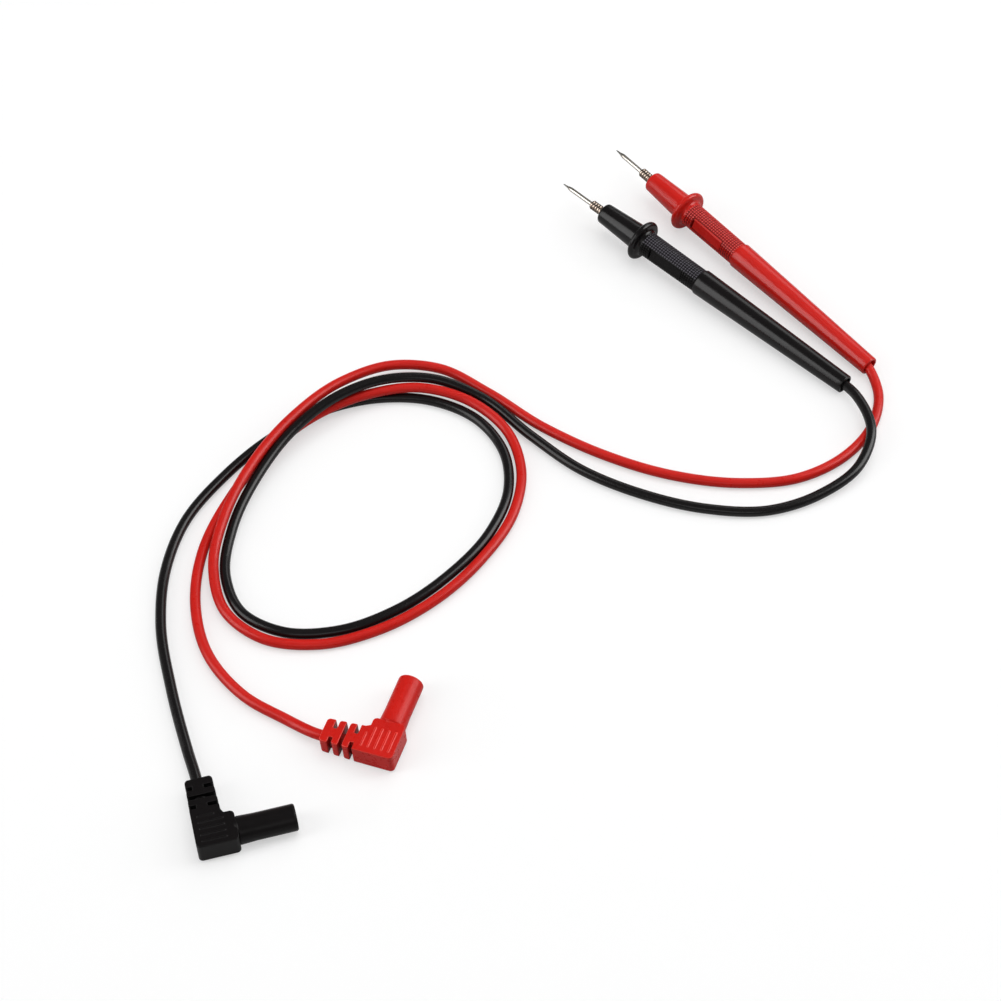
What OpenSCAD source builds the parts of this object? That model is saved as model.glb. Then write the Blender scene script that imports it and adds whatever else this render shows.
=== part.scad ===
// A pair of test leads, one red and one black, lying on a flat surface.
// Each lead is a hand-held probe, a flexible cord and a right-angled shrouded 4 mm plug.
// Millimetres, +Z up, the surface at z = 0, the origin under the middle of the probes and plugs.

/* [Needle] */
// Diameter of the contact needle
needle_d = 1.8; // [1.2:0.1:2.2]
// Length of needle in front of the collar
needle_reach = 16.8; // [8:0.2:20]
// Length of the needle's ground point
point_len = 4.2; // [2:0.2:6]

/* [Collar] */
// Crest diameter of the ridged collar
collar_d = 4.0; // [3.6:0.1:4.4]
// Root diameter between the collar's ridges
collar_root_d = 3.2; // [2.8:0.1:3.4]
// Number of ridges on the collar
collar_ridges = 4; // [2:1:6]
// Distance from one ridge to the next
ridge_pitch = 1.25; // [1:0.05:1.25]
// Plain neck between the ridges and the nose
neck_len = 1.7; // [1:0.1:3]

/* [Probe body] */
// Distance from the tail of the probe to the middle of the finger guard
guard_at = 109.2; // [100:0.2:115]
// Outside diameter of the finger guard
guard_d = 17.6; // [16:0.2:20]
// Thickness of the guard's rounded rim
guard_rim = 2.6; // [2:0.1:3.4]
// Length of the nose cone in front of the guard
nose_len = 22.4; // [18:0.1:26]
// Diameter of the nose at its front edge
nose_front_d = 8.9; // [7.6:0.1:9.4]
// Diameter of the nose at the guard
nose_back_d = 11.1; // [10:0.1:12]
// Diameter of the grip behind the guard
grip_front_d = 10.7; // [10:0.1:12]
// Diameter of the grip where it meets the sleeve
grip_back_d = 10.1; // [9.5:0.1:11]
// Distance between the rings of the grip
grip_pitch = 1.2; // [1:0.1:2]
// Depth of the grooves between those rings
grip_groove = 0.2; // [0.1:0.05:0.3]

/* [Probe sleeve] */
// Length of the rear sleeve
sleeve_len = 76.8; // [60:0.2:85]
// Diameter of the sleeve at the grip
sleeve_front_d = 11.2; // [11.2:0.1:12.4]
// Diameter of the sleeve at its tail
tail_d = 7.8; // [7.4:0.1:9]
// Bore of the sleeve at its tail
tail_bore_d = 5.8; // [5:0.1:6.2]
// Bore of the sleeve where it grips the body
sleeve_bore_d = 8.2; // [7.6:0.1:8.6]

/* [Plug housing] */
// Size of the housing along the shroud
housing_x = 14.7; // [12:0.1:16]
// Size of the housing across the shroud
housing_y = 12.0; // [11:0.1:14]
// Height of the housing
housing_h = 8.5; // [8.3:0.1:9.4]
// Length of the strain relief beyond the housing
relief_len = 15.3; // [13.5:0.1:18]
// Width of the strain relief at its cord end
relief_end_w = 8.6; // [7.4:0.1:9]
// Height of the strain relief at its cord end
relief_end_h = 7.4; // [6.6:0.1:8]
// Width of the gaps between the strain relief's fins
fin_gap = 1.4; // [1:0.1:1.8]
// Number of raised ribs on each flat face
face_ribs = 5; // [3:1:5]

/* [Plug contact] */
// Diameter of the shroud next to the housing
shroud_base_d = 10.0; // [9.4:0.1:10.2]
// Diameter of the straight part of the shroud
shroud_d = 9.5; // [9.0:0.1:9.8]
// Bore of the shroud
shroud_bore_d = 7.2; // [6.8:0.1:7.4]
// Length of the shroud outside the housing
shroud_len = 20.3; // [18:0.1:23]
// Diameter of the sprung contact at its widest
contact_d = 4.0; // [3.9:0.05:4.1]

/* [Cord] */
// Outside diameter of the cord
cord_d = 4.0; // [3.6:0.1:4.2]
// Diameter of the stranded copper conductor inside it
conductor_d = 1.6; // [1.2:0.1:1.7]

/* [Hidden] */
$fn = 64;
BLACK = [0.09, 0.09, 0.10];
RED = [0.80, 0.09, 0.09];
NICKEL = [0.80, 0.78, 0.74];
BRASS = [0.78, 0.62, 0.36];
COPPER = [0.80, 0.45, 0.28];

gap = 0.05;                                  // assembly gap between pieces that fit together
edge = 0.8;                                  // rounding of the moulded front edges
nose_front = guard_at + nose_len;            // positions along a probe, from its tail
collar_front = nose_front + neck_len + collar_ridges * ridge_pitch;
tip = collar_front + needle_reach;
collar_root = 118;
needle_root_d = needle_d + 0.6;              // stouter part of the needle, inside the collar
cup_at = 102;
cup_len = 10;
cup_d = 3.4;
wire_bore_d = 5.0;                           // passage for the cord through the grip
spigot_len = 12;                             // rear end of the body, inside the sleeve
flare_len = 1.6;                             // concave flare between the guard and the grip
groove_start = guard_at - guard_rim / 2 - flare_len - 1;
groove_count = floor((groove_start - sleeve_len - 1.5) / grip_pitch);

probe_tilt = asin((guard_d - tail_d) / 2 / guard_at);   // the guard and the tail both rest
relief_x0 = -4.7;                            // plug frame: shroud axis is X, cord axis is Y
block_x1 = relief_x0 + housing_x;
relief_end_y = housing_y / 2 + relief_len;
relief_base_w = 10.4;
gap_pitch = 4.0;
first_gap_y = 9.3;
core_d = 5.2;                                // round core of the strain relief, around the cord
bridge_w = 3.6;
rib_w = 0.55;
rib_h = 0.3;
rib_pitch = 2.55;
rib_x0 = -2.5;
rib_len = 8.6;
rib_mid_y = 1.25;
plug_z = shroud_base_d / 2;
plug_tilt = asin((plug_z - relief_end_h / 2) / relief_end_y);   // shroud and relief both rest
mouth_x = block_x1 + shroud_len;
cone_len = 6;                                // tapered part of the shroud
root_len = 4.4;                              // shroud root held by the housing
root_d = 7.6;                                // no more than the housing's height allows
pin_d = 2.6;
pin_end = mouth_x - 1.2;
head_len = 2.4;
spring_len = 12;
spring_x = pin_end - head_len - 0.4 - spring_len;
land_len = 6;                                // full-diameter middle of the sprung contact
strip = 0.25;                                // thickness of the contact spring
spring_slots = 5;
slot_w = 0.45;
terminal_d = 4.2;
terminal_y0 = -2.5;
terminal_y1 = 7.0;
cross_d = 2.0;                               // pin spigot through the terminal
cord_hole_d = 4.6;
cord_hole_y = 8.5;

// Tail position of each probe on the surface, and the direction it points
RED_PROBE = [127.3, 50.75, 129.25];
BLACK_PROBE = [116.5, 41, 135.53];
// Crossing of the shroud axis and the cord axis of each plug, and the shroud's direction
RED_PLUG = [-62.63, -130.64, 71];
BLACK_PLUG = [-119.91, -165.07, 15.3];

// Centre line of each cord, from inside the grip to inside the plug
RED_ROUTE = [
    [64.1, 128.1, 8.4], [118.4, 61.6, 4.5], [125.4, 53.1, 4], [129.5, 41, 2], [126, 22.5, 2], [112.5, 5, 2],
    [94, -5.5, 2], [71, -8, 2], [45, -4, 2], [19.5, 6, 2], [-4.5, 20.5, 2],
    [-26, 38, 2.5], [-45.5, 50, 3.5], [-64, 50.5, 5], [-84, 40, 7], [-102, 20.5, 8.5],
    [-115.5, -1, 8], [-125, -26, 6.5], [-128, -50, 4], [-122, -69.5, 2.5], [-107.5, -81, 2],
    [-87, -83.5, 2], [-65.5, -77, 2], [-44.5, -63, 2], [-28, -44.5, 2], [-16, -22.5, 2],
    [-13, -1.5, 2.5], [-19, 18, 3.5], [-33.5, 31.5, 5], [-53, 37.5, 6], [-75, 33.5, 6],
    [-96, 22.5, 4.5], [-112.5, 5.5, 3], [-125.5, -17.5, 2], [-133, -41.5, 2], [-133.5, -66, 2],
    [-127, -88, 2], [-112.5, -106, 2], [-95, -117, 2], [-86.3, -122.5, 3.5], [-75.9, -126.1, 4.1]];
BLACK_ROUTE = [
    [45.2, 110.9, 8.4], [106.5, 50.8, 4.5], [114.4, 43.1, 4], [120, 32.5, 6.5], [124, 16, 6], [118, -0.5, 4],
    [101.5, -14, 2.5], [81, -21.5, 2], [57, -20.5, 2], [33.5, -13.5, 2], [10.5, -1.5, 2],
    [-9, 15.5, 2.5], [-29, 34.5, 4], [-46.5, 41, 7], [-66, 39, 9.5], [-84.5, 30, 10],
    [-102, 14, 7.5], [-114.5, -7, 5], [-122.5, -31, 3], [-123.5, -52.5, 2], [-116, -69.5, 2],
    [-100.5, -78, 2], [-80.5, -77.5, 2], [-59, -68, 2], [-40.5, -52.5, 2], [-25, -32, 2],
    [-18, -11.5, 2], [-20, 8.5, 2], [-30.5, 24.5, 2], [-48, 34, 2], [-69, 35.5, 2],
    [-91, 29, 2], [-110.5, 15, 2], [-128, -5, 2], [-140.5, -26, 2], [-146, -49.5, 2],
    [-145.5, -74, 2], [-139, -102.5, 2], [-130.5, -129.5, 2], [-126.5, -141, 3.5], [-123.6, -151.6, 4.1]];
cord_sides = 10;
rings_per_span = 2;

// ---- placing ----------------------------------------------------------------

// A probe's own frame: X runs from the tail to the tip along the axis.
module at_probe(place)
    translate([place[0], place[1], tail_d / 2]) rotate([0, -probe_tilt, place[2]]) children();

// A plug's own frame: X runs along the shroud, Y along the strain relief to the cord.
module at_plug(place)
    translate([place[0], place[1], plug_z]) rotate([0, 0, place[2]]) rotate([-plug_tilt, 0, 0])
        children();

// A solid of revolution about X from points [position, radius].
module turned(points) rotate([0, 90, 0]) rotate([0, 0, 90]) rotate_extrude()
    polygon([for (p = points) [p[1], p[0]]]);

// A plain rod or bore along X.
module rod(x0, x1, d) translate([x0, 0, 0]) rotate([0, 90, 0]) cylinder(h = x1 - x0, d = d);

// Points of a quarter or half circle, as [position, radius].
function arc(x, r, radius, a0, a1, steps) = [for (i = [0:steps])
    let (a = a0 + (a1 - a0) * i / steps) [x + radius * cos(a), r + radius * sin(a)]];

// ---- probe ------------------------------------------------------------------

module needle() turned([
    [cup_at + 6, 0], [cup_at + 6, needle_root_d / 2], [collar_front - gap, needle_root_d / 2],
    [collar_front - gap, needle_d / 2], [tip - point_len, needle_d / 2],
    [tip - point_len * 0.55, needle_d * 0.22], [tip, 0.05], [tip, 0]]);

module collar() difference() {
    turned(concat(
        [[collar_root, 0], [collar_root, collar_d / 2 + 0.6], [collar_root + 2, collar_d / 2 + 0.6],
         [collar_root + 2, collar_d / 2], [nose_front - 0.5, collar_d / 2],
         [nose_front - 0.5, collar_root_d / 2]],
        [for (i = [0:collar_ridges - 1])
            let (x = nose_front + neck_len + i * ridge_pitch)
            each [[x, collar_root_d / 2], [x + ridge_pitch * 0.3, collar_d / 2],
                  [x + ridge_pitch * 0.75, collar_d / 2]]],
        [[collar_front, collar_root_d / 2], [collar_front, 0]]));
    rod(collar_root - 1, collar_front + 1, needle_root_d + 2 * gap);
}

function grip_r(x) = grip_back_d / 2
    + (grip_front_d - grip_back_d) / 2 * (x - sleeve_len) / (guard_at - sleeve_len);

module probe_body() {
    spigot_d = sleeve_bore_d - 2 * gap;
    guard_back = guard_at - guard_rim / 2;
    rim_r = guard_rim / 2;
    difference() {
        turned(concat(
            [[sleeve_len - spigot_len, 0], [sleeve_len - spigot_len, spigot_d / 2],
             [sleeve_len, spigot_d / 2], [sleeve_len, grip_r(sleeve_len)]],
            [for (i = [0:groove_count - 1])
                let (x = groove_start - (groove_count - i) * grip_pitch)
                each [[x, grip_r(x)], [x + 0.15, grip_r(x) - grip_groove],
                      [x + 0.45, grip_r(x) - grip_groove], [x + 0.6, grip_r(x)]]],
            [[guard_back - flare_len, grip_front_d / 2],
             [guard_back - flare_len * 0.4, grip_front_d / 2 + 0.5],
             [guard_back - flare_len * 0.1, grip_front_d / 2 + 1.6]],
            arc(guard_at, guard_d / 2 - rim_r, rim_r, 180, 0, 12),
            [[guard_at + rim_r, nose_back_d / 2]],
            arc(nose_front - edge, nose_front_d / 2 - edge, edge, 80, 0, 5),
            [[nose_front, 0]]));
        rod(sleeve_len - spigot_len - 1, cup_at + cup_len + 1, wire_bore_d);
        rod(cup_at, nose_front + 1, collar_d + 2 * gap);
        rod(cup_at, collar_root + 2 + gap, collar_d + 1.2 + 2 * gap);
    }
}

module probe_sleeve() {
    seat = sleeve_len - spigot_len - 1;
    turned([
        [0, tail_bore_d / 2], [0, tail_d / 2 - 0.3], [0.3, tail_d / 2],
        [sleeve_len - 0.5, sleeve_front_d / 2], [sleeve_len, sleeve_front_d / 2 - 0.5],
        [sleeve_len, grip_back_d / 2 + gap], [sleeve_len - gap, grip_back_d / 2],
        [sleeve_len - gap, sleeve_bore_d / 2], [seat, sleeve_bore_d / 2]]);
}

module solder_cup() difference() {
    rod(cup_at, cup_at + cup_len, cup_d);
    rod(cup_at - 1, cup_at + cup_len + 1, needle_root_d + 2 * gap);
}

module probe_conductor() rod(cup_at - 1.8, cup_at + 5.5, conductor_d);

// ---- cord -------------------------------------------------------------------

function span(p, i) = norm(p[i + 1] - p[i]);

// Unit-speed tangent at each route point, so that uneven spacing makes no loops.
function tangent(p, i) =
    i == 0 ? (p[1] - p[0]) / span(p, 0)
    : i == len(p) - 1 ? (p[i] - p[i - 1]) / span(p, i - 1)
    : let (a = span(p, i - 1), b = span(p, i))
      ((p[i] - p[i - 1]) / a * b + (p[i + 1] - p[i]) / b * a) / (a + b);

function on_surface(q) = [q[0], q[1], max(q[2], cord_d / 2)];

function between(p, i, t) = let (d = span(p, i)) on_surface(
    (2 * t * t * t - 3 * t * t + 1) * p[i] + (t * t * t - 2 * t * t + t) * d * tangent(p, i)
    + (3 * t * t - 2 * t * t * t) * p[i + 1] + (t * t * t - t * t) * d * tangent(p, i + 1));

function centre_line(p) = concat(
    [for (i = [0:len(p) - 2], k = [0:rings_per_span - 1]) between(p, i, k / rings_per_span)],
    [p[len(p) - 1]]);

function unit(v) = v / norm(v);

function ring(c, i) = let (
    ahead = unit(c[min(i + 1, len(c) - 1)] - c[max(i - 1, 0)]),
    side = unit(cross([0, 0, 1], ahead)),
    up = cross(ahead, side))
    [for (k = [0:cord_sides - 1]) let (a = 360 * (k + 0.5) / cord_sides)
        c[i] + cord_d / 2 * (cos(a) * side + sin(a) * up)];

module cord(route) {
    c = centre_line(route);
    n = cord_sides;
    polyhedron(
        points = [for (i = [0:len(c) - 1]) each ring(c, i)],
        faces = concat(
            [[for (k = [0:n - 1]) k]],
            [for (i = [0:len(c) - 2], k = [0:n - 1])
                [i * n + (k + 1) % n, i * n + k, (i + 1) * n + k, (i + 1) * n + (k + 1) % n]],
            [[for (k = [0:n - 1]) (len(c) - 1) * n + n - 1 - k]]),
        convexity = 10);
}

// ---- plug -------------------------------------------------------------------

// A block with two rounded corners at its closed end, drawn in the plug's own frame.
module housing_block() {
    r = 1.6;
    x0 = relief_x0;
    y0 = -housing_y / 2;
    translate([0, 0, -housing_h / 2]) linear_extrude(housing_h) {
        translate([x0 + r, y0]) square([housing_x - 2 * r, housing_y]);
        translate([x0, y0 + r]) square([housing_x, housing_y - r]);
        for (x = [x0 + r, block_x1 - r]) translate([x, y0 + r]) circle(r);
    }
}

module relief_envelope() {
    y0 = housing_y / 2 - 0.1;
    y1 = relief_end_y;
    end_x0 = -relief_end_w / 2;
    intersection() {
        translate([0, 0, -housing_h]) linear_extrude(2 * housing_h) polygon([
            [relief_x0, y0], [relief_x0 + relief_base_w, y0],
            [end_x0 + relief_end_w, y1 - 0.8], [end_x0 + relief_end_w - 0.8, y1],
            [end_x0 + 0.8, y1], [end_x0, y1 - 0.8]]);
        rotate([90, 0, 90]) translate([0, 0, -20]) linear_extrude(40) polygon([
            [y0, -housing_h / 2], [y1, -relief_end_h / 2],
            [y1, relief_end_h / 2], [y0, housing_h / 2]]);
    }
}

module relief() {
    intersection() {
        relief_envelope();
        union() {
            translate([-10, housing_y / 2 - 1, -10])
                cube([20, first_gap_y - housing_y / 2 + 1 - fin_gap / 2, 20]);
            for (i = [0:2]) translate([-10, first_gap_y + i * gap_pitch + fin_gap / 2, -10])
                cube([20, i == 2 ? 10 : gap_pitch - fin_gap, 20]);
            for (i = [0, 2]) translate([-bridge_w / 2, first_gap_y + i * gap_pitch - 1, -10])
                cube([bridge_w, 2, 20]);
        }
    }
    translate([0, housing_y / 2, 0]) rotate([-90, 0, 0]) cylinder(h = relief_len - 1, d = core_d);
}

module plug_housing() difference() {
    union() {
        housing_block();
        relief();
        for (side = [-1, 1], i = [0:face_ribs - 1])
            translate([rib_x0, rib_mid_y + (i - (face_ribs - 1) / 2) * rib_pitch - rib_w / 2,
                       side > 0 ? housing_h / 2 - 0.1 : -housing_h / 2 - rib_h])
                cube([i == face_ribs - 1 ? rib_len * 0.68 : rib_len, rib_w, rib_h + 0.1]);
    }
    rod(block_x1 - root_len - gap, block_x1 + 1, root_d + 2 * gap);
    rod(-cross_d, block_x1, pin_d + 2 * gap);
    translate([0, terminal_y0 - gap, 0]) rotate([-90, 0, 0])
        cylinder(h = terminal_y1 - terminal_y0 + 2 * gap, d = terminal_d + 2 * gap);
    translate([0, terminal_y1 - 1, 0]) rotate([-90, 0, 0]) cylinder(h = 4, d = conductor_d + 4 * gap);
    translate([0, cord_hole_y, 0]) rotate([-90, 0, 0]) cylinder(h = 30, d = cord_hole_d);
}

module plug_shroud() difference() {
    union() {
        rod(block_x1 - root_len, block_x1 + gap, root_d);
        turned([[block_x1 + gap, 0], [block_x1 + gap, shroud_base_d / 2],
                [block_x1 + cone_len, shroud_d / 2], [mouth_x - edge, shroud_d / 2],
                [mouth_x - edge * 0.3, shroud_d / 2 - edge * 0.3],
                [mouth_x, shroud_d / 2 - edge * 0.8], [mouth_x, 0]]);
    }
    rod(block_x1 - root_len + 1.4, mouth_x + 1, shroud_bore_d);
    rod(block_x1 - root_len - 1, mouth_x, pin_d + 2 * gap);
}

module plug_pin() {
    rod(-cross_d / 2 - 0.6, 3, cross_d);
    rod(terminal_d / 2 + gap, pin_end - head_len, pin_d);
    turned([[pin_end - head_len, 0], [pin_end - head_len, pin_d / 2 + 0.35],
            [pin_end - 0.8, pin_d / 2 + 0.35], [pin_end, pin_d / 2 - 0.5], [pin_end, 0]]);
    rod(spring_x - 1.6, spring_x - 0.4, pin_d + 0.7);
}

module plug_spring() difference() {
    half = spring_len / 2;
    mid = spring_x + half;
    turned([[spring_x, pin_d / 2 + gap], [spring_x, pin_d / 2 + gap + strip],
            [spring_x + 1, pin_d / 2 + gap + strip],
            [mid - land_len / 2, contact_d / 2], [mid + land_len / 2, contact_d / 2],
            [spring_x + spring_len - 1, pin_d / 2 + gap + strip],
            [spring_x + spring_len, pin_d / 2 + gap + strip], [spring_x + spring_len, pin_d / 2 + gap],
            [spring_x + spring_len - 1, pin_d / 2 + gap],
            [mid + land_len / 2, contact_d / 2 - strip], [mid - land_len / 2, contact_d / 2 - strip],
            [spring_x + 1, pin_d / 2 + gap]]);
    for (k = [0:spring_slots - 1]) rotate([360 * k / spring_slots, 0, 0])
        translate([spring_x + 1.2, -slot_w / 2, 0]) cube([spring_len - 2.4, slot_w, contact_d]);
}

module plug_terminal() difference() {
    translate([0, terminal_y0, 0]) rotate([-90, 0, 0]) cylinder(h = terminal_y1 - terminal_y0, d = terminal_d);
    rod(-cross_d / 2 - 0.7, terminal_d, cross_d + 2 * gap);
    translate([0, terminal_y1 - 4, 0]) rotate([-90, 0, 0]) cylinder(h = 5, d = conductor_d + 2 * gap);
}

module plug_conductor()
    translate([0, terminal_y1 - 3.5, 0]) rotate([-90, 0, 0]) cylinder(h = 10.4, d = conductor_d);

// ---- pieces -----------------------------------------------------------------

color(NICKEL) at_probe(RED_PROBE) needle();  // red_probe_needle
color(BRASS) at_probe(RED_PROBE) collar();  // red_probe_collar
color(RED) at_probe(RED_PROBE) probe_body();  // red_probe_body
color(RED) at_probe(RED_PROBE) probe_sleeve();  // red_probe_sleeve
color(BRASS) at_probe(RED_PROBE) solder_cup();  // red_probe_solder_cup
color(COPPER) at_probe(RED_PROBE) probe_conductor();  // red_probe_conductor
color(RED) cord(RED_ROUTE);  // red_cord
color(COPPER) at_plug(RED_PLUG) plug_conductor();  // red_plug_conductor
color(BRASS) at_plug(RED_PLUG) plug_terminal();  // red_plug_terminal
color(RED) at_plug(RED_PLUG) plug_housing();  // red_plug_housing
color(RED) at_plug(RED_PLUG) plug_shroud();  // red_plug_shroud
color(NICKEL) at_plug(RED_PLUG) plug_pin();  // red_plug_pin
color(NICKEL) at_plug(RED_PLUG) plug_spring();  // red_plug_spring

color(NICKEL) at_probe(BLACK_PROBE) needle();  // black_probe_needle
color(BRASS) at_probe(BLACK_PROBE) collar();  // black_probe_collar
color(BLACK) at_probe(BLACK_PROBE) probe_body();  // black_probe_body
color(BLACK) at_probe(BLACK_PROBE) probe_sleeve();  // black_probe_sleeve
color(BRASS) at_probe(BLACK_PROBE) solder_cup();  // black_probe_solder_cup
color(COPPER) at_probe(BLACK_PROBE) probe_conductor();  // black_probe_conductor
color(BLACK) cord(BLACK_ROUTE);  // black_cord
color(COPPER) at_plug(BLACK_PLUG) plug_conductor();  // black_plug_conductor
color(BRASS) at_plug(BLACK_PLUG) plug_terminal();  // black_plug_terminal
color(BLACK) at_plug(BLACK_PLUG) plug_housing();  // black_plug_housing
color(BLACK) at_plug(BLACK_PLUG) plug_shroud();  // black_plug_shroud
color(NICKEL) at_plug(BLACK_PLUG) plug_pin();  // black_plug_pin
color(NICKEL) at_plug(BLACK_PLUG) plug_spring();  // black_plug_spring
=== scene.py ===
"""A pair of multimeter test leads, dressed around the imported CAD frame.

Sizes and positions are in millimetres, and every mesh is made in metres. A probe's own frame has
X along its axis, from the tail to the tip. A plug's own frame has X along its shroud and Y along
its strain relief to the cord.
"""

import math

import bmesh
import bpy
from mathutils import Matrix, Vector


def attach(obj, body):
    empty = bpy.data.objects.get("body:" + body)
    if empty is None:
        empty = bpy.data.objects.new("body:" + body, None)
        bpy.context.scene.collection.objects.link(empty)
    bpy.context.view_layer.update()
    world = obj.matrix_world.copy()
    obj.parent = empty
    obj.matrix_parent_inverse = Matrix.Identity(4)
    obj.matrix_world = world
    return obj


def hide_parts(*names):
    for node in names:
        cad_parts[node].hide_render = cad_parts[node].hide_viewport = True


MM = 0.001
TAU = 2 * math.pi
COLOURS = ("red", "black")

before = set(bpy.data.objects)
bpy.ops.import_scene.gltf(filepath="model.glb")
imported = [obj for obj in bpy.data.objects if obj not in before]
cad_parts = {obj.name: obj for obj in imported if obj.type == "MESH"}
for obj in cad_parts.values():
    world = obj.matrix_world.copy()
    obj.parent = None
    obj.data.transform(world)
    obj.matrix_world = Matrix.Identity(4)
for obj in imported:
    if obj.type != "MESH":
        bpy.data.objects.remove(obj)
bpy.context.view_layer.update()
scene = bpy.context.scene

# ---- the same named sizes as the solids --------------------------------------

CORD_D = 4.0
TAIL_D = 7.8
SLEEVE_LEN = 76.8
SLEEVE_FRONT_D = 11.2
SLEEVE_BORE_R = 4.1
TAIL_BORE_R = 2.9
SPIGOT_BACK = 64.8
SPIGOT_R = 4.05
WIRE_BORE_R = 2.5
CUP_AT = 102
CUP_END = 112
COLLAR_SEAT_R = 2.65
GUARD_AT = 109.2
GUARD_D = 17.6
GUARD_RIM = 2.6
NOSE_LEN = 22.4
NOSE_BACK_R = 5.55
NOSE_FRONT_R = 4.45
NOSE_FRONT = GUARD_AT + NOSE_LEN
NECK_LEN = 1.7
RIDGE_PITCH = 1.25
RIDGES = 4
COLLAR_R = 2.0
COLLAR_ROOT = 118
COLLAR_FRONT = NOSE_FRONT + NECK_LEN + RIDGES * RIDGE_PITCH
NEEDLE_R = 0.9
NEEDLE_REACH = 16.8
TIP = COLLAR_FRONT + NEEDLE_REACH
PROBE_TILT = math.asin((GUARD_D - TAIL_D) / 2 / GUARD_AT)
PLUG_Z = 5.0
RELIEF_END_Y = 21.3
PLUG_TILT = math.asin((PLUG_Z - 3.7) / RELIEF_END_Y)
BLOCK_X0, BLOCK_X1, BLOCK_Y = -4.7, 10.0, 6.0
SHROUD_BASE_R = 5.0
SHROUD_R = 4.75
SHROUD_BORE_R = 3.6
SHROUD_ROOT_R = 3.8
PIN_BORE_R = 1.4
MOUTH_X = BLOCK_X1 + 20.3

# each probe's tail and each plug's crossing of axes, with the direction they point
PROBES = {"red": (127.3, 50.75, 129.25), "black": (116.5, 41, 135.53)}
PLUGS = {"red": (-62.63, -130.64, 71), "black": (-119.91, -165.07, 15.3)}

# each cord's centre line, from just inside the probe's tail to inside the plug
ROUTES = {
    "red": [
        (118.4, 61.6, 4.5), (125.4, 53.1, 4), (129.5, 41, 2), (126, 22.5, 2), (112.5, 5, 2),
        (94, -5.5, 2), (71, -8, 2), (45, -4, 2), (19.5, 6, 2), (-4.5, 20.5, 2),
        (-26, 38, 2.5), (-45.5, 50, 3.5), (-64, 50.5, 5), (-84, 40, 7), (-102, 20.5, 8.5),
        (-115.5, -1, 8), (-125, -26, 6.5), (-128, -50, 4), (-122, -69.5, 2.5), (-107.5, -81, 2),
        (-87, -83.5, 2), (-65.5, -77, 2), (-44.5, -63, 2), (-28, -44.5, 2), (-16, -22.5, 2),
        (-13, -1.5, 2.5), (-19, 18, 3.5), (-33.5, 31.5, 5), (-53, 37.5, 6), (-75, 33.5, 6),
        (-96, 22.5, 4.5), (-112.5, 5.5, 3), (-125.5, -17.5, 2), (-133, -41.5, 2),
        (-133.5, -66, 2), (-127, -88, 2), (-112.5, -106, 2), (-95, -117, 2),
        (-86.3, -122.5, 3.5), (-75.9, -126.1, 4.1),
    ],
    "black": [
        (106.5, 50.8, 4.5), (114.4, 43.1, 4), (120, 32.5, 6.5), (124, 16, 6), (118, -0.5, 4),
        (101.5, -14, 2.5), (81, -21.5, 2), (57, -20.5, 2), (33.5, -13.5, 2), (10.5, -1.5, 2),
        (-9, 15.5, 2.5), (-29, 34.5, 4), (-46.5, 41, 7), (-66, 39, 9.5), (-84.5, 30, 10),
        (-102, 14, 7.5), (-114.5, -7, 5), (-122.5, -31, 3), (-123.5, -52.5, 2), (-116, -69.5, 2),
        (-100.5, -78, 2), (-80.5, -77.5, 2), (-59, -68, 2), (-40.5, -52.5, 2), (-25, -32, 2),
        (-18, -11.5, 2), (-20, 8.5, 2), (-30.5, 24.5, 2), (-48, 34, 2), (-69, 35.5, 2),
        (-91, 29, 2), (-110.5, 15, 2), (-128, -5, 2), (-140.5, -26, 2), (-146, -49.5, 2),
        (-145.5, -74, 2), (-139, -102.5, 2), (-130.5, -129.5, 2),
        (-126.5, -141, 3.5), (-123.6, -151.6, 4.1),
    ],
}

# ---- camera ------------------------------------------------------------------

AIM = Vector((-21, -15, 0)) * MM
CAMERA_ELEVATION = math.radians(51.44)
CAMERA_DISTANCE = 829.4 * MM
FOCAL_LENGTH = 77.64
SENSOR_WIDTH = 36

camera_data = bpy.data.cameras.new("camera")
camera_data.lens = FOCAL_LENGTH
camera_data.sensor_width = SENSOR_WIDTH
camera_data.clip_start = 0.01
camera = bpy.data.objects.new("camera", camera_data)
scene.collection.objects.link(camera)
camera.location = AIM + CAMERA_DISTANCE * Vector(
    (0, -math.cos(CAMERA_ELEVATION), math.sin(CAMERA_ELEVATION)))
camera.rotation_euler = (math.pi / 2 - CAMERA_ELEVATION, 0, 0)
scene.camera = camera

# ---- materials ---------------------------------------------------------------


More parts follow.
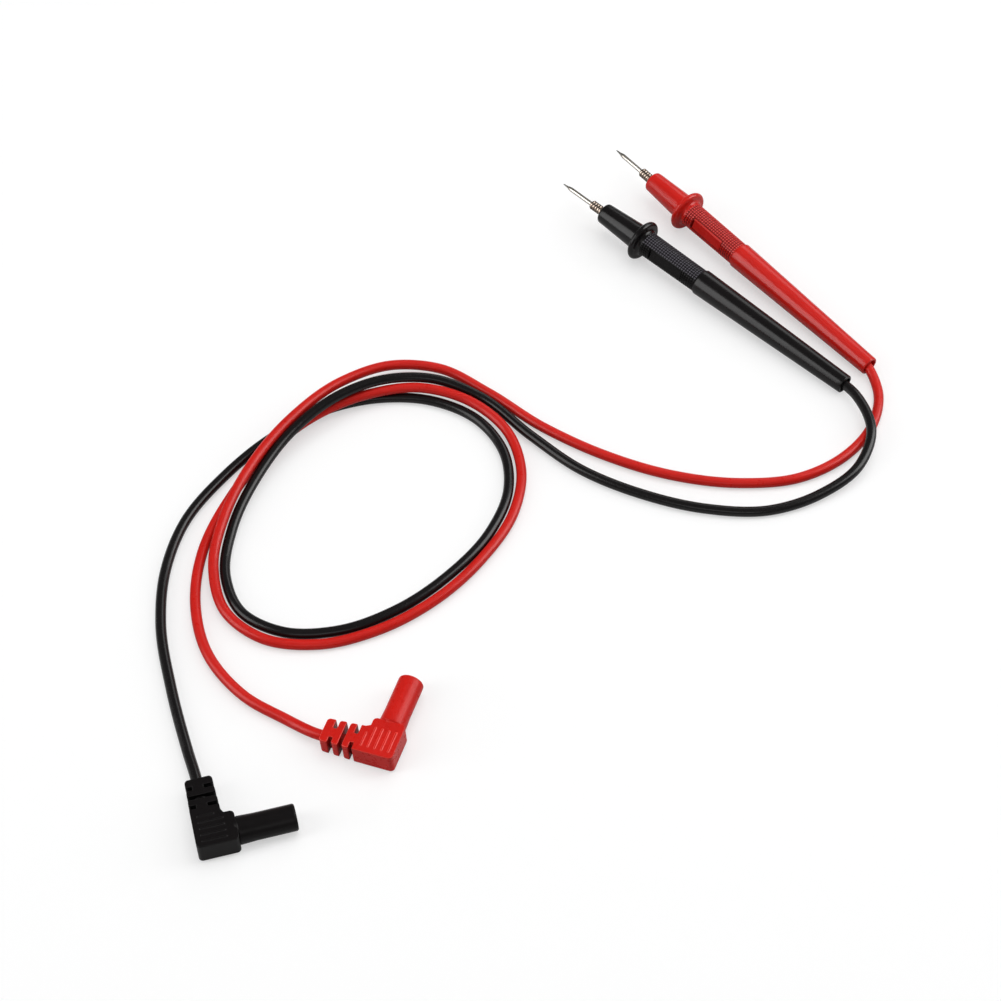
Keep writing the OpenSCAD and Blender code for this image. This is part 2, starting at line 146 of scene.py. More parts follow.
class Nodes:
    """Adds and links the shader nodes of a material or a world in a few words."""

    def __init__(self, owner, shader):
        owner.use_nodes = True
        self.owner = owner
        self.tree = owner.node_tree
        self.shader = self.tree.nodes[shader]

    def new(self, kind, **values):
        node = self.tree.nodes.new(kind)
        for key, value in values.items():
            if hasattr(node, key):
                setattr(node, key, value)
            else:
                node.inputs[key.replace("_", " ")].default_value = value
        return node

    def link(self, source, socket):
        self.tree.links.new(source, socket)

    def feed(self, value, socket):
        """Links a socket to another, or sets it to a plain number or colour."""
        if isinstance(value, bpy.types.NodeSocket):
            self.link(value, socket)
        else:
            socket.default_value = value

    def place(self):
        return self.new("ShaderNodeTexCoord").outputs["Object"]

    def mark(self, name):
        """A value that the mesh holds at each of its points."""
        return self.new("ShaderNodeAttribute", attribute_name=name).outputs["Fac"]

    def noise(self, scale, detail, rough=0.55):
        """Noise in object space; scale is features per metre."""
        node = self.new("ShaderNodeTexNoise", Scale=scale, Detail=detail, Roughness=rough)
        self.link(self.place(), node.inputs["Vector"])
        return node.outputs["Fac"]

    def ranged(self, value, low, high, from_low, from_high):
        node = self.new("ShaderNodeMapRange", From_Min=from_low, From_Max=from_high,
                        To_Min=low, To_Max=high)
        self.link(value, node.inputs["Value"])
        return node.outputs["Result"]

    def mixed(self, factor, a, b):
        """From one colour to another; the first may be a socket."""
        node = self.new("ShaderNodeMix", data_type="RGBA")
        self.link(factor, node.inputs[0])
        self.feed(a if isinstance(a, bpy.types.NodeSocket) else (*a, 1), node.inputs[6])
        self.feed((*b, 1), node.inputs[7])
        return node.outputs[2]

    def math(self, operation, a, b):
        node = self.new("ShaderNodeMath", operation=operation)
        self.feed(a, node.inputs[0])
        self.feed(b, node.inputs[1])
        return node.outputs["Value"]

    def bump(self, height, distance, normal=None):
        node = self.new("ShaderNodeBump", Strength=1.0, Distance=distance)
        self.link(height, node.inputs["Height"])
        if normal:
            self.link(normal, node.inputs["Normal"])
        return node.outputs["Normal"]

    def seen(self, reflected):
        """1 where the camera sees this surface, also through glass, and less in reflections."""
        path = self.new("ShaderNodeLightPath")
        level = self.math("MULTIPLY", path.outputs["Is Glossy Ray"], reflected)
        level = self.math("MAXIMUM", level, path.outputs["Is Camera Ray"])
        return self.math("MAXIMUM", level, path.outputs["Is Transmission Ray"])


# how far each mark of the mesh changes the colour where it is full: painted shade in grooves and
# gaps, painted highlight on crests and edges, and painted dark reflection on metal
PAINTED_SHADE = 0.75
PAINTED_HIGHLIGHT = 0.7
PAINTED_DARK_REFLECTION = 0.95


def surface(name):
    return Nodes(bpy.data.materials.new(name), "Principled BSDF")


def plastic(name, light, dark, rough, grain_depth, peel_depth, specular=0.25, highlight_colour=(0, 0, 0)):
    """Moulded plastic: slow colour drift, a fine grain and a slower uneven skin.

    The mesh marks grooves, darkened with painted shade, and the raised points between them, paled
    with a painted highlight.
    """
    n = surface(name)
    drift = n.noise(90, detail=4)
    colour = n.mixed(n.ranged(drift, 0, 1, 0.3, 0.7), dark, light)
    # painted shade: the colour darkens where the mesh marks grooves and gaps
    shade_colour = [c * 0.1 for c in dark]
    colour = n.mixed(n.math("MULTIPLY", n.mark("painted_dark"), PAINTED_SHADE), colour, shade_colour)
    # painted highlight: the colour pales where the mesh marks crests and rounded edges
    colour = n.mixed(n.math("MULTIPLY", n.mark("crest"), PAINTED_HIGHLIGHT), colour, highlight_colour)
    n.link(colour, n.shader.inputs["Base Color"])
    wear = n.noise(420, detail=5, rough=0.65)
    n.link(n.ranged(wear, rough - 0.03, rough + 0.04, 0.3, 0.7), n.shader.inputs["Roughness"])
    skin = n.bump(n.noise(260, detail=2), peel_depth)
    grain = n.bump(n.noise(5200, detail=2), grain_depth, skin)
    n.link(grain, n.shader.inputs["Normal"])
    n.shader.inputs["Specular IOR Level"].default_value = specular
    return n.owner


def metal(name, light, dark, rough, edge=(1, 1, 1)):
    """Turned metal: fine tool marks, a little tarnish, and a painted dark reflection where the
    mesh marks it.
    """
    n = surface(name)
    tarnish_and_painted_reflection = n.noise(700, detail=5, rough=0.6)
    colour = n.mixed(n.ranged(tarnish_and_painted_reflection, 0, 1, 0.35, 0.7), light, dark)
    # painted dark reflection where the mesh marks it
    dark_reflection = [c * 0.08 for c in dark]
    colour = n.mixed(n.math("MULTIPLY", n.mark("painted_dark"), PAINTED_DARK_REFLECTION), colour, dark_reflection)
    n.link(colour, n.shader.inputs["Base Color"])
    polish = n.noise(1600, detail=4)
    n.link(n.ranged(polish, rough - 0.05, rough + 0.08, 0.3, 0.7), n.shader.inputs["Roughness"])
    n.link(n.bump(n.noise(9000, detail=2), 0.00001), n.shader.inputs["Normal"])
    n.shader.inputs["Specular Tint"].default_value = (*edge, 1)
    n.shader.inputs["Metallic"].default_value = 1.0
    return n.owner


RED = ((0.625, 0.015, 0.010), (0.565, 0.011, 0.007))
BLACK = ((0.0062, 0.0050, 0.0053), (0.0048, 0.0040, 0.0042))
FINE_GRAIN, CORD_GRAIN = 0.000001, 0.0000005
FLAT_SKIN, GLOSS_SKIN, CORD_SKIN = 0.00001, 0.00002, 0.00003
METAL_EDGE = (0.12, 0.09, 0.06)

MATS = {
    "red_plastic": plastic("red gloss plastic", *RED, 0.20, FINE_GRAIN, GLOSS_SKIN),
    "black_plastic": plastic("black gloss plastic", *BLACK, 0.20, FINE_GRAIN, GLOSS_SKIN),
    "red_grip": plastic("red grip plastic", *RED, 0.27, FINE_GRAIN, FLAT_SKIN, 0.12,
                        highlight_colour=(0.80, 0.12, 0.115)),
    "black_grip": plastic("black grip plastic", *BLACK, 0.27, FINE_GRAIN, FLAT_SKIN, 0.10,
                          highlight_colour=(0.15, 0.14, 0.165)),
    "red_sleeve": plastic("red sleeve plastic", *RED, 0.22, FINE_GRAIN, GLOSS_SKIN),
    "black_sleeve": plastic("black sleeve plastic", *BLACK, 0.22, FINE_GRAIN, GLOSS_SKIN),
    "red_plug": plastic("red plug plastic", *RED, 0.28, FINE_GRAIN, FLAT_SKIN, 0.12,
                        highlight_colour=(0.92, 0.090, 0.070)),
    "black_plug": plastic("black plug plastic", *BLACK, 0.34, FINE_GRAIN, FLAT_SKIN, 0.12,
                          highlight_colour=(0.012, 0.011, 0.011)),
    "red_cord": plastic("red cord jacket", *RED, 0.29, CORD_GRAIN, CORD_SKIN, 0.20),
    "black_cord": plastic("black cord jacket", *BLACK, 0.25, CORD_GRAIN, CORD_SKIN, 0.28),
    "nickel": metal("nickel plate", (0.62, 0.58, 0.53), (0.50, 0.46, 0.41), 0.2, METAL_EDGE),
    "collar_brass": metal("collar plate", (0.58, 0.48, 0.40), (0.42, 0.33, 0.27), 0.2,
                          METAL_EDGE),
    "brass": metal("turned brass", (0.78, 0.60, 0.32), (0.58, 0.42, 0.20), 0.28),
    "copper": metal("bare copper", (0.80, 0.42, 0.25), (0.55, 0.28, 0.16), 0.34),
}

# ---- mesh helpers ------------------------------------------------------------


def probe_matrix(colour):
    x, y, heading = PROBES[colour]
    return (Matrix.Translation(Vector((x, y, TAIL_D / 2)) * MM)
            @ Matrix.Rotation(math.radians(heading), 4, "Z")
            @ Matrix.Rotation(-PROBE_TILT, 4, "Y"))


def plug_matrix(colour):
    x, y, heading = PLUGS[colour]
    return (Matrix.Translation(Vector((x, y, PLUG_Z)) * MM)
            @ Matrix.Rotation(math.radians(heading), 4, "Z")
            @ Matrix.Rotation(-PLUG_TILT, 4, "X"))


def add_piece(name, bm, matrix, node, material, sharp=50.0):
    """A bmesh in millimetres becomes a piece in metres that stands for a CAD node.

    Edges above the sharp angle, in degrees, keep a crease, and None keeps none.
    """
    bmesh.ops.recalc_face_normals(bm, faces=bm.faces)
    mesh = bpy.data.meshes.new(name)
    bm.transform(matrix @ Matrix.Scale(MM, 4))
    bm.to_mesh(mesh)
    bm.free()
    mesh.shade_smooth()
    if sharp:
        mesh.set_sharp_from_angle(angle=math.radians(sharp))
    obj = bpy.data.objects.new(name, mesh)
    scene.collection.objects.link(obj)
    mesh.materials.append(MATS[material])
    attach(obj, "root")
    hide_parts(node)
    return obj


def join_rings(bm, a, b):
    """A band of faces between two rings with as many points."""
    for k in range(len(a)):
        j = (k + 1) % len(a)
        bm.faces.new((a[k], a[j], b[j], b[k]))


def unchanged(angle):
    return 0.0, 0.0, 0.0


def lathe(rows, sides, closed=True):
    """Rings about X from rows of (x, radius, change), where change(angle) gives the radius's
    alteration, how much the place is darkened with painted shade and painted dark reflection, and
    how much it is paled with a painted highlight, each from 0 to 1.

    A closed profile joins its last row to its first; an open one is capped at both ends.
    """
    bm = bmesh.new()
    painted_dark = bm.verts.layers.float.new("painted_dark")
    crest = bm.verts.layers.float.new("crest")
    rings = []
    for x, base_radius, *rest in rows:
        change = rest[0] if rest else unchanged
        ring = []
        for k in range(sides):
            angle = TAU * k / sides
            shift, in_groove, on_crest = change(angle)
            radius = base_radius + shift
            vert = bm.verts.new((x, -radius * math.sin(angle), radius * math.cos(angle)))
            vert[painted_dark] = in_groove
            vert[crest] = on_crest
            ring.append(vert)
        rings.append(ring)
    for a, b in zip(rings, rings[1:]):
        join_rings(bm, a, b)
    if closed:
        join_rings(bm, rings[-1], rings[0])
    else:
        bm.faces.new(rings[0])
        bm.faces.new(rings[-1])
    return bm


def arc(cx, cy, radius, a0, a1, steps):
    """Points of a quarter or half circle, with angles in degrees from +X."""
    return [(cx + radius * math.cos(math.radians(a)), cy + radius * math.sin(math.radians(a)))
            for a in (a0 + (a1 - a0) * i / steps for i in range(steps + 1))]


def smooth_curve(points, spans):
    """Catmull-Rom through profile points, so that flares have no corners."""
    out = []
    for i in range(len(points) - 1):
        p0 = Vector(points[max(i - 1, 0)])
        p1, p2 = Vector(points[i]), Vector(points[i + 1])
        p3 = Vector(points[min(i + 2, len(points) - 1)])
        for k in range(spans):
            t = k / spans
            q = 0.5 * ((2 * p1) + (p2 - p0) * t + (2 * p0 - 5 * p1 + 4 * p2 - p3) * t * t
                       + (3 * p1 - p0 - 3 * p2 + p3) * t ** 3)
            out.append(tuple(q))
    out.append(tuple(points[-1]))
    return out


def step(x, low, high):
    """0 below low, 1 above high, smooth between."""
    t = min(max((x - low) / (high - low), 0.0), 1.0)
    return t * t * (3 - 2 * t)


# ---- cords -------------------------------------------------------------------

CORD_SIDES = 24
CORD_SPANS = 16


def centre_line(route, spans):
    """The same curve through the route as the solids have."""
    points = [Vector(p) for p in route]
    gaps = [(b - a).length for a, b in zip(points, points[1:])]
    tangents = [(points[1] - points[0]) / gaps[0]]
    for i in range(1, len(points) - 1):
        a, b = gaps[i - 1], gaps[i]
        tangents.append(((points[i] - points[i - 1]) / a * b
                         + (points[i + 1] - points[i]) / b * a) / (a + b))
    tangents.append((points[-1] - points[-2]) / gaps[-1])
    out = []
    for i in range(len(points) - 1):
        for k in range(spans):
            t = k / spans
            q = ((2 * t ** 3 - 3 * t * t + 1) * points[i]
                 + (t ** 3 - 2 * t * t + t) * gaps[i] * tangents[i]
                 + (3 * t * t - 2 * t ** 3) * points[i + 1]
                 + (t ** 3 - t * t) * gaps[i] * tangents[i + 1])
            q.z = max(q.z, CORD_D / 2)
            out.append(q)
    out.append(points[-1])
    return out


def add_cord(colour):
    line = centre_line(ROUTES[colour], CORD_SPANS)
    bm = bmesh.new()
    rings = []
    for i, q in enumerate(line):
        ahead = (line[min(i + 1, len(line) - 1)] - line[max(i - 1, 0)]).normalized()
        side = Vector((0, 0, 1)).cross(ahead).normalized()
        up = ahead.cross(side)
        angles = [TAU * k / CORD_SIDES for k in range(CORD_SIDES)]
        rings.append([bm.verts.new(q + CORD_D / 2 * (math.cos(a) * side + math.sin(a) * up))
                      for a in angles])
    for a, b in zip(rings, rings[1:]):
        join_rings(bm, a, b)
    bm.faces.new(rings[0])
    bm.faces.new(rings[-1])
    obj = add_piece(colour + "_lead_cord", bm, Matrix.Identity(4), colour + "_cord",
                    colour + "_cord", sharp=60)


for colour in COLOURS:
    add_cord(colour)

# ---- probes ------------------------------------------------------------------

GRIP_SIDES = 330
GRIP_LINES = 30
GRIP_BACK_R = 5.07
GRIP_WIDENS = 0.28
GRIP_END = GUARD_AT - GUARD_RIM / 2 - 1.5
RING_PITCH = 1.175
RING_DEPTH = 0.40
RING_STEPS = 11
LINE_DEPTH = 0.38
# where a groove's bottom ends and where its side does, as shares of the distance between grooves
RING_GROOVE = (0.04, 0.28)
LINE_GROOVE = (0.05, 0.28)
PANEL_BACK, PANEL_FRONT = 83.9, 101.6
# the panel's upper edge, lower edge and the direction its flat faces, about the probe's axis
PANEL = {"red": (-34, -102, -76), "black": (-46, -110, -79)}
PANEL_FLAT = 4.5
PANEL_R = 5.1
BORDER = (0.42, 0.55)
BORDER_DEPTH = 0.3
# painted highlight: the crests of the grip are paler above the first directions, and less so at
# its crown
HIGHLIGHT_FROM = {"red": (-62, -48), "black": (-50, -40)}
CROWN_FROM = (-15, 15)
CROWN_LOSS = 0.55
# how softly a painted streak of reflection on the metal ends, in degrees about the axis
STREAK_EDGE = 7


def grip_radius(x):
    return GRIP_BACK_R + GRIP_WIDENS * (x - SLEEVE_LEN) / (GUARD_AT - SLEEVE_LEN)


def groove(phase, bottom, top):
    """1 in a groove at whole numbers of phase, 0 on the land between."""
    phase %= 1.0
    return 1 - step(min(phase, 1 - phase), bottom, top)


def turned(angle, degrees):
    """Angle from a direction given in degrees, between -pi and pi."""
    return (angle - math.radians(degrees) + math.pi) % TAU - math.pi


def from_nearer(angle, degrees):
    """Angle from that direction or from the opposite one, whichever is nearer."""
    off = turned(angle, degrees)
    return turned(angle, degrees + 180) if abs(off) > math.pi / 2 else off


def grip_change(x, first, last, colour):
    """Chequering of rings and lines cut to a small depth, with a framed flat panel each side."""
    ends = step(x, first, first + 0.25) * (1 - step(x, last - 0.25, last))
    ring = groove((x - first) / RING_PITCH, *RING_GROOVE)
    top, bottom, face = PANEL[colour]

    def change(angle):
        line = groove(angle * GRIP_LINES / TAU, *LINE_GROOVE)
        knurl = -ends * max(RING_DEPTH * ring, LINE_DEPTH * line)
        off = from_nearer(angle, face)
        across = PANEL_R * min(math.radians(top - face) - off, off - math.radians(bottom - face))
        inside = min(across, x - PANEL_BACK, PANEL_FRONT - x)
        panel = step(inside, -0.05, 0.05)
        border = panel * (1 - step(inside, *BORDER))
        flat = min(-0.08, PANEL_FLAT / math.cos(min(abs(off), 0.8)) - grip_radius(x))
        # painted shade in the grooves and in the panel's border
        painted_dark = max(ends * max(ring, line) * (1 - panel), border)
        # from -150 to 210 degrees, so that it wraps round on the highlit part's far side
        direction = math.degrees(turned(angle, 30)) + 30
        highlit = step(direction, *HIGHLIGHT_FROM[colour])
        highlit *= 1 - CROWN_LOSS * step(direction, *CROWN_FROM)
        # painted highlight on the crests, over one side of the grip
        crest = ends * (1 - panel) * (1 - ring) * (1 - line) * highlit
        return knurl * (1 - panel) + panel * flat - BORDER_DEPTH * border, painted_dark, crest
    return change


def grip(colour):
    first, last = SLEEVE_LEN + 0.35, GRIP_END - 0.15
    rows = [(SPIGOT_BACK, WIRE_BORE_R), (SPIGOT_BACK, SPIGOT_R), (SLEEVE_LEN - 0.3, SPIGOT_R),
            (SLEEVE_LEN - 0.2, grip_radius(SLEEVE_LEN) - 0.1)]
    steps = int((last - first) / RING_PITCH * RING_STEPS)
    for i in range(steps + 1):
        x = first + (last - first) * i / steps
        rows.append((x, grip_radius(x), grip_change(x, first, last, colour)))
    rows += [(GRIP_END - 0.01, grip_radius(last)), (GRIP_END - 0.01, COLLAR_SEAT_R),
             (CUP_AT, COLLAR_SEAT_R), (CUP_AT - 0.1, WIRE_BORE_R)]
    add_piece(colour + "_chequered_grip", lathe(rows, GRIP_SIDES), probe_matrix(colour),
              colour + "_probe_body", colour + "_grip")


def guard_and_nose(colour):
    rim = GUARD_RIM / 2
    guard_back, guard_front = GUARD_AT - rim, GUARD_AT + rim
    back_fillet, front_fillet, edge = guard_back - GRIP_END, 0.8, 1.1
    rows = [(GRIP_END + 0.01, COLLAR_SEAT_R)]
    rows += arc(guard_back - back_fillet, grip_radius(GRIP_END) + back_fillet, back_fillet,
                -90, -4, 10)
    rows += arc(GUARD_AT, GUARD_D / 2 - rim, rim, 176, 4, 18)
    rows += arc(guard_front + front_fillet, NOSE_BACK_R + front_fillet, front_fillet, 184, 268, 8)
    start = guard_front + front_fillet
    for i in range(1, 12):
        t = i / 12
        rows.append((start + (NOSE_FRONT - edge - start) * t,
                     NOSE_BACK_R + (NOSE_FRONT_R - NOSE_BACK_R) * t))
    rows += arc(NOSE_FRONT - edge, NOSE_FRONT_R - edge, edge, 86, 0, 8)
    rows += [(NOSE_FRONT, COLLAR_R + 0.35), (NOSE_FRONT - 0.25, COLLAR_R + 0.1),
             (CUP_END + 1, COLLAR_R + 0.1), (CUP_END, COLLAR_SEAT_R)]
    add_piece(colour + "_guard_nose", lathe(rows, 120), probe_matrix(colour),
              colour + "_probe_body", colour + "_plastic")


def probe_sleeve(colour):
    front, tail, edge = SLEEVE_FRONT_D / 2, TAIL_D / 2, 0.45
    rows = arc(edge, tail - edge, edge, 180, 90, 5)
    for i in range(1, 40):
        t = i / 40
        rows.append((edge + (SLEEVE_LEN - edge * 2) * t, tail + (front - tail) * t))
    rows += arc(SLEEVE_LEN - edge, front - edge, edge, 90, 0, 5)
    rows += [(SLEEVE_LEN, 5.1), (SLEEVE_LEN - 0.05, SLEEVE_BORE_R),
             (SPIGOT_BACK - 1, SLEEVE_BORE_R), (30, 3.45), (0.5, TAIL_BORE_R),
             (0.0, TAIL_BORE_R + 0.15)]
    add_piece(colour + "_handle_sleeve", lathe(rows, 96), probe_matrix(colour),
              colour + "_probe_sleeve", colour + "_sleeve")


def streaked(middle, half, tarnish_and_painted_reflection, base=0.0):
    """Bright along a streak and the one opposite, with a painted dark reflection between them.

    The streak's middle and half its width are in degrees about the axis.
    """
    def change(angle):
        off = math.degrees(abs(from_nearer(angle, middle)))
        return 0.0, max(base, tarnish_and_painted_reflection * step(off, half - STREAK_EDGE, half + STREAK_EDGE)), 0.0
    return change


def collar(colour):
    # painted dark reflection on the flanks of the thread, bright along one streak
    crest, valley = streaked(-42, 22, 0.62), streaked(-42, 22, 0.8, 0.45)
    ridge = ((0, 1.66, valley), (0.12, 1.72, valley), (0.3, 1.95, crest), (0.42, 2.0, crest),
             (0.74, 2.0, crest), (0.86, 1.95, crest), (1.05, 1.72, valley), (1.17, 1.66, valley))
    rows = [(COLLAR_ROOT, 1.05), (COLLAR_ROOT, COLLAR_R), (NOSE_FRONT - 0.4, COLLAR_R),
            (NOSE_FRONT + 0.1, 1.78), (NOSE_FRONT + 1.4, 1.74)]
    for i in range(RIDGES):
        start = NOSE_FRONT + NECK_LEN + i * RIDGE_PITCH
        rows += [(start + along, radius, change) for along, radius, change in ridge]
    rows += [(COLLAR_FRONT, 1.62), (COLLAR_FRONT, 1.05)]
    add_piece(colour + "_threaded_collar", lathe(rows, 64), probe_matrix(colour),
              colour + "_probe_collar", "collar_brass", sharp=60)


def needle(colour):
    shoulder, root = TIP - 4.5, COLLAR_FRONT - 0.05
    rows = [(CUP_AT + 6, 1.0), (root, 1.0), (root, NEEDLE_R - 0.04),
            (COLLAR_FRONT + 0.1, NEEDLE_R), (shoulder - 0.3, NEEDLE_R), (shoulder, 0.87)]
    rows += smooth_curve([(shoulder, 0.87), (shoulder + 0.9, 0.72), (TIP - 2.5, 0.42),
                          (TIP - 1.5, 0.34), (TIP - 0.5, 0.22), (TIP - 0.06, 0.05)], 4)[1:]
    # painted dark reflection on the needle's sides, and over most of its point
    side, point = streaked(-48, 46, 0.8), streaked(-48, 0, 0.8, 0.75)
    rows = [(x, r, point if x > TIP - 2.7 else side) for x, r in rows]
    add_piece(colour + "_contact_needle", lathe(rows, 48, closed=False), probe_matrix(colour),
              colour + "_probe_needle", "nickel", sharp=60)


for colour in COLOURS:
    grip(colour)
    guard_and_nose(colour)
    probe_sleeve(colour)
    collar(colour)
    needle(colour)

# ---- plugs -------------------------------------------------------------------

VOXEL = 0.16
HALF_HEIGHT = 4.25
GAPS = (9.3, 13.3, 17.3)
GAP_W = 1.4
# how far each plug's gaps and end lie beyond the solids'
RELIEF_SHIFT = {"red": 0.5, "black": 1.4}
RELIEF_X1 = 5.9
CORE_R = 2.6
BRIDGE_X = 1.9
RIB_YS = (-3.85, -1.3, 1.25, 3.8, 6.35)
RIB_X0, RIB_X1, SHORT_RIB_X1 = -2.5, 6.1, 3.35
RIB_W, RIB_H = 0.55, 0.62
SADDLE = 1.8


def taper(amount, y):
    """Grows from nothing at the block to the full amount at the relief's end."""
    return amount * (y - BLOCK_Y) / (RELIEF_END_Y - BLOCK_Y)


def side_left(y):
    return BLOCK_X0 + taper(0.4, y)


def side_right(y):
    return RELIEF_X1 - taper(0.5, y)


def half_height(y):
    return HALF_HEIGHT - max(0.0, taper(0.55, y))


def prism(outline, inset=0.0):
    """A closed solid over an outline of (x, y), as high as the moulding is at each y."""
    bm = bmesh.new()
    low = [bm.verts.new((x, y, -(half_height(y) - inset))) for x, y in outline]
    high = [bm.verts.new((x, y, half_height(y) - inset)) for x, y in outline]
    bm.faces.new(list(reversed(low)))
    bm.faces.new(high)
    join_rings(bm, low, high)
    return bm


def bevelled(bm, width, segments=3):
    """Rounds every edge of the solids in a bmesh."""
    bmesh.ops.recalc_face_normals(bm, faces=bm.faces)
    bmesh.ops.bevel(bm, geom=list(bm.edges), offset=width, segments=segments,
                    affect="EDGES", profile=0.5, clamp_overlap=True)
    return bm


def cone(r0, r1, depth, segments, place, about):
    """A plain cone or rod, turned by 90 degrees about an axis."""
    bm = bmesh.new()
    bmesh.ops.create_cone(bm, cap_ends=True, segments=segments, radius1=r0, radius2=r1,
                          depth=depth, matrix=Matrix.Translation(place)
                          @ Matrix.Rotation(math.pi / 2, 4, about))
    return bm


def rib(y, side, x1):
    bm = bmesh.new()
    place = ((x1 + RIB_X0) / 2, y, side * HALF_HEIGHT)
    bmesh.ops.create_cube(bm, size=1.0, matrix=Matrix.Translation(place)
                          @ Matrix.Diagonal((x1 - RIB_X0, RIB_W, RIB_H, 1)))
    return bevelled(bm, 0.14, 2)


def housing_solids(gaps, relief_end):
    """Block, fins, bridges between them, round core, saddle for the shroud, and ribs."""
    r = 1.5
    block_end = gaps[0] - GAP_W / 2
    outline = arc(BLOCK_X1 - r, -BLOCK_Y + r, r, -90, 0, 6)
    outline += arc(BLOCK_X1 - r, BLOCK_Y - r, r, 0, 90, 6)
    outline += [(6.6, BLOCK_Y), (RELIEF_X1, BLOCK_Y + 1.4), (RELIEF_X1 - 0.1, BLOCK_Y + 2.0)]
    outline += [(side_right(block_end), block_end), (side_left(block_end), block_end)]
    outline += arc(BLOCK_X0 + r, -BLOCK_Y + r, r, 180, 270, 6)
    solids = [bevelled(prism(outline), 0.85, 4)]
    fin_starts = [gap + GAP_W / 2 for gap in gaps]
    fin_ends = [gap - GAP_W / 2 for gap in gaps[1:]] + [relief_end]
    for y0, y1 in zip(fin_starts, fin_ends):
        chamfer = 0.55 if y1 < relief_end else 0.8
        solids.append(bevelled(prism([
            (side_left(y0), y0), (side_right(y0), y0), (side_right(y1), y1 - chamfer),
            (side_right(y1) - chamfer, y1), (side_left(y1) + chamfer, y1),
            (side_left(y1), y1 - chamfer)]), 0.4))
    for y in (gaps[0], gaps[2]):
        solids.append(prism([(-BRIDGE_X, y - 1.2), (BRIDGE_X, y - 1.2), (BRIDGE_X, y + 1.2),
                             (-BRIDGE_X, y + 1.2)], 0.05))
    solids.append(cone(CORE_R, CORE_R, 14, 48, (0, 13.8, 0), "X"))
    solids.append(cone(4.0, 4.7, SADDLE, 64, (BLOCK_X1 - SADDLE / 2, 0, 0), "Y"))
    for y in RIB_YS:
        for side in (1, -1):
            solids.append(rib(y, side, SHORT_RIB_X1 if y == RIB_YS[-1] else RIB_X1))
    return solids


def fused(solids):
    """One skin around overlapping solids, softened like a moulding."""
    merged = bmesh.new()
    for solid in solids:
        bmesh.ops.recalc_face_normals(solid, faces=solid.faces)
        mesh = bpy.data.meshes.new("solid")
        solid.to_mesh(mesh)
        solid.free()
        merged.from_mesh(mesh)
        bpy.data.meshes.remove(mesh)
    mesh = bpy.data.meshes.new("solids")
    merged.to_mesh(mesh)
    merged.free()
    base = bpy.data.objects.new("solids", mesh)
    scene.collection.objects.link(base)
    remesh = base.modifiers.new("remesh", "REMESH")
    remesh.mode = "VOXEL"
    remesh.voxel_size = VOXEL
    smooth = base.modifiers.new("soften", "SMOOTH")
    smooth.factor = 0.5
    smooth.iterations = 5
    bpy.context.view_layer.update()
    bm = bmesh.new()
    bm.from_object(base, bpy.context.evaluated_depsgraph_get())
    bpy.data.objects.remove(base)
    bpy.data.meshes.remove(mesh)
    bm.normal_update()
    return bm


def plug_housing(colour):
    shift = RELIEF_SHIFT[colour]
    gaps = [y + shift for y in GAPS]
    bm = fused(housing_solids(gaps, RELIEF_END_Y + shift))
    painted_dark = bm.verts.layers.float.new("painted_dark")
    crest = bm.verts.layers.float.new("crest")
    # painted shade deep in the gaps between the fins
    for vert in bm.verts:
        x, y, _ = vert.co
        for gap in gaps:
            # the bridges lie in the first and the last gap
            if abs(x) > BRIDGE_X + 0.05 or gap == gaps[1]:
                vert[painted_dark] = max(vert[painted_dark], step(GAP_W / 2 - abs(y - gap), -0.2, 0.1))
        # painted highlight on the rounded edges, where the surface leans between flat and upright
        tilt = abs(vert.normal.z)
        vert[crest] = step(tilt, 0.25, 0.5) * (1 - step(tilt, 0.82, 0.96)) * (1 - vert[painted_dark])
    add_piece(colour + "_plug_moulding", bm, plug_matrix(colour), colour + "_plug_housing",
              colour + "_plug", sharp=None)


def plug_shroud(colour):
    edge, lip, cone_len, straight_len = 0.75, 0.4, 6, 12.4
    back = BLOCK_X1 - 3.0
    rows = [(back, SHROUD_ROOT_R), (BLOCK_X1 - 0.3, SHROUD_ROOT_R),
            (BLOCK_X1 - 0.1, SHROUD_BASE_R - 0.25), (BLOCK_X1 + 0.1, SHROUD_BASE_R - 0.06),
            (BLOCK_X1 + lip, SHROUD_BASE_R)]
    for i in range(1, 9):
        t = i / 8
        rows.append((BLOCK_X1 + lip + (cone_len - lip) * t,
                     SHROUD_BASE_R + (SHROUD_R - SHROUD_BASE_R) * t))
    rows += [(BLOCK_X1 + cone_len + straight_len * i / 6, SHROUD_R) for i in range(1, 7)]
    rows += arc(MOUTH_X - edge, SHROUD_R - edge, edge, 90, 0, 7)
    rows += [(MOUTH_X, SHROUD_BORE_R + 0.15), (MOUTH_X - 0.2, SHROUD_BORE_R),
             (BLOCK_X1 - 1.6, SHROUD_BORE_R), (BLOCK_X1 - 1.6, PIN_BORE_R), (back, PIN_BORE_R)]
    add_piece(colour + "_plug_sheath", lathe(rows, 96), plug_matrix(colour),
              colour + "_plug_shroud", colour + "_plug")


for colour in COLOURS:
    plug_housing(colour)
    plug_shroud(colour)

# ---- carried-over solids: the contacts inside --------------------------------

KEPT = {"probe_solder_cup": "brass", "probe_conductor": "copper", "plug_conductor": "copper",
        "plug_terminal": "brass", "plug_pin": "nickel", "plug_spring": "nickel"}
for colour in COLOURS:
    for part, material in KEPT.items():
        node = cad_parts[f"{colour}_{part}"]
        node.data.materials.clear()
        node.data.materials.append(MATS[material])

# ---- floor, lamps and world --------------------------------------------------

FLOOR_SIZE = 6.0
# the emission that lifts the floor to white near the part, and where the lamps don't reach
NEAR_LIFT, FAR_LIFT = 0.515, 1.0
NEAR, FAR = 0.8, 2.0
WORLD_LEVEL = 0.2
LAMP_DISTANCE = 1.6
CARD_DISTANCE = 1.5
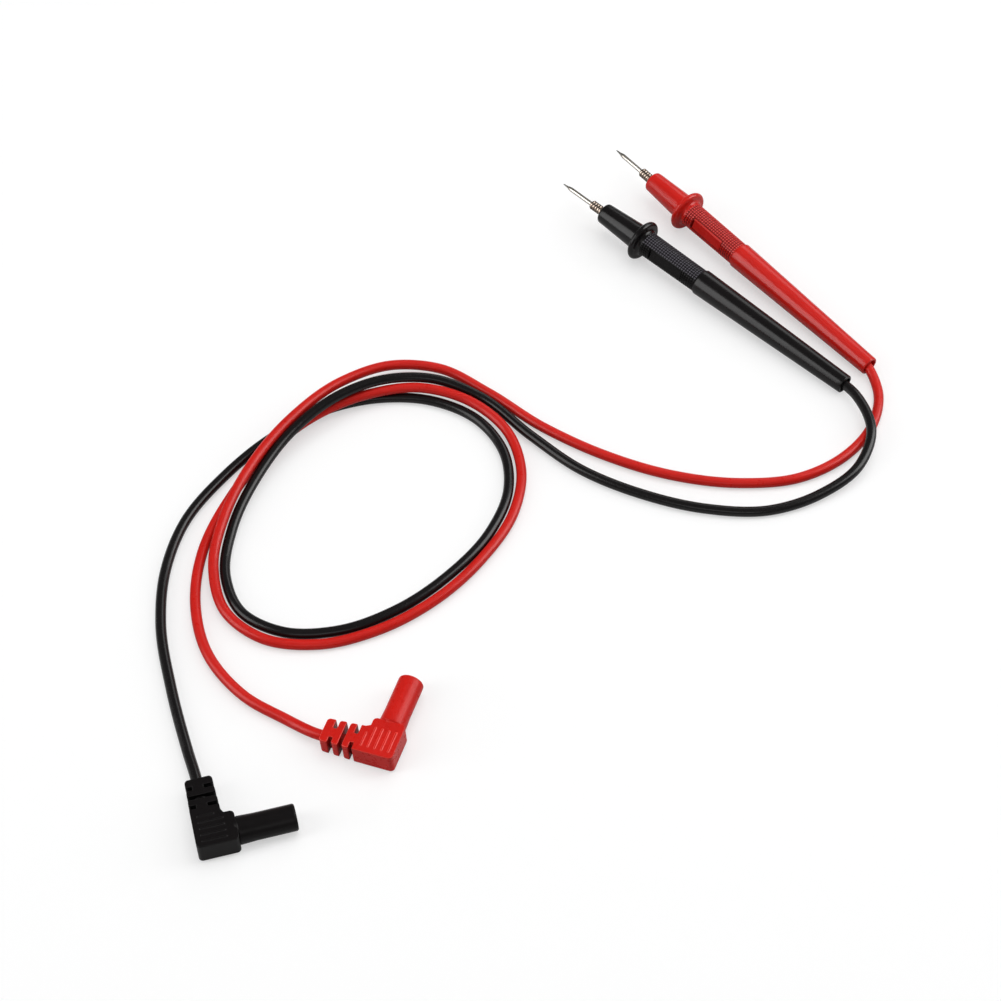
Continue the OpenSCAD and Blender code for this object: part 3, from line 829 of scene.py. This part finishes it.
# name, azimuth, elevation, width, height, radiance
LAMPS = (
    ("lamp left", 196, 28, 0.53, 1.44, 3.8),
    ("lamp right", 9, 30, 0.75, 1.12, 3.0),
    ("lamp back", 72, 31, 0.38, 0.90, 2.0),
    ("lamp overhead", 60, 80, 1.6, 1.6, 2.1),
)
CARDS = (
    ("card left", 193, 29.5, 0.92, 1.42, 4.0),
    ("card right", 13, 35, 1.0, 1.25, 5.8),
    ("card back", 62, 35, 0.8, 0.60, 2.1),
    ("card front", 268, 37, 1.0, 0.45, 1.6),
)


def add_floor():
    """Pale paper: dull underneath, lifted to white where the camera or a reflection sees it."""
    bm = bmesh.new()
    bmesh.ops.create_grid(bm, x_segments=1, y_segments=1, size=FLOOR_SIZE)
    mesh = bpy.data.meshes.new("floor")
    bm.to_mesh(mesh)
    bm.free()
    obj = bpy.data.objects.new("floor", mesh)
    scene.collection.objects.link(obj)
    n = surface("floor paper")
    n.shader.inputs["Roughness"].default_value = 1.0
    n.shader.inputs["Specular IOR Level"].default_value = 0.0
    n.shader.inputs["Emission Color"].default_value = (1, 1, 1, 1)
    direct = n.new("ShaderNodeLightPath").outputs["Is Camera Ray"]
    paper = n.mixed(direct, (0.55, 0.55, 0.55), (0.49, 0.49, 0.49))
    n.link(paper, n.shader.inputs["Base Color"])
    away = n.new("ShaderNodeVectorMath", operation="LENGTH")
    n.link(n.place(), away.inputs[0])
    lift = n.ranged(away.outputs["Value"], NEAR_LIFT, FAR_LIFT, NEAR, FAR)
    n.link(n.math("MULTIPLY", n.seen(0.3), lift), n.shader.inputs["Emission Strength"])
    mesh.materials.append(n.owner)


def softbox(name, azimuth, elevation, width, height, radiance, distance, glossy):
    """A rectangular lamp of a stated radiance, at those angles from the middle of the scene.

    A glossy one is a card that shows in reflections alone; the others light without showing.
    """
    data = bpy.data.lights.new(name, "AREA")
    data.shape = "RECTANGLE"
    data.size = width
    data.size_y = height
    data.energy = radiance * math.pi * width * height
    obj = bpy.data.objects.new(name, data)
    scene.collection.objects.link(obj)
    a, e = math.radians(azimuth), math.radians(elevation)
    out = Vector((math.cos(a) * math.cos(e), math.sin(a) * math.cos(e), math.sin(e)))
    obj.location = distance * out
    obj.rotation_euler = out.to_track_quat("Z", "Y").to_euler()
    obj.visible_glossy = glossy
    obj.visible_diffuse = not glossy


def add_world():
    """An even dim light, also in reflections, and white where the camera looks past the floor."""
    studio = bpy.data.worlds.new("studio")
    scene.world = studio
    n = Nodes(studio, "Background")
    n.shader.inputs["Color"].default_value = (1, 1, 1, 1)
    level = n.math("MAXIMUM", n.seen(0), WORLD_LEVEL)
    n.link(level, n.shader.inputs["Strength"])


add_floor()
for lamp in LAMPS:
    softbox(*lamp, LAMP_DISTANCE, glossy=False)
for card in CARDS:
    softbox(*card, CARD_DISTANCE, glossy=True)
add_world()
scene.view_settings.view_transform = "Standard"
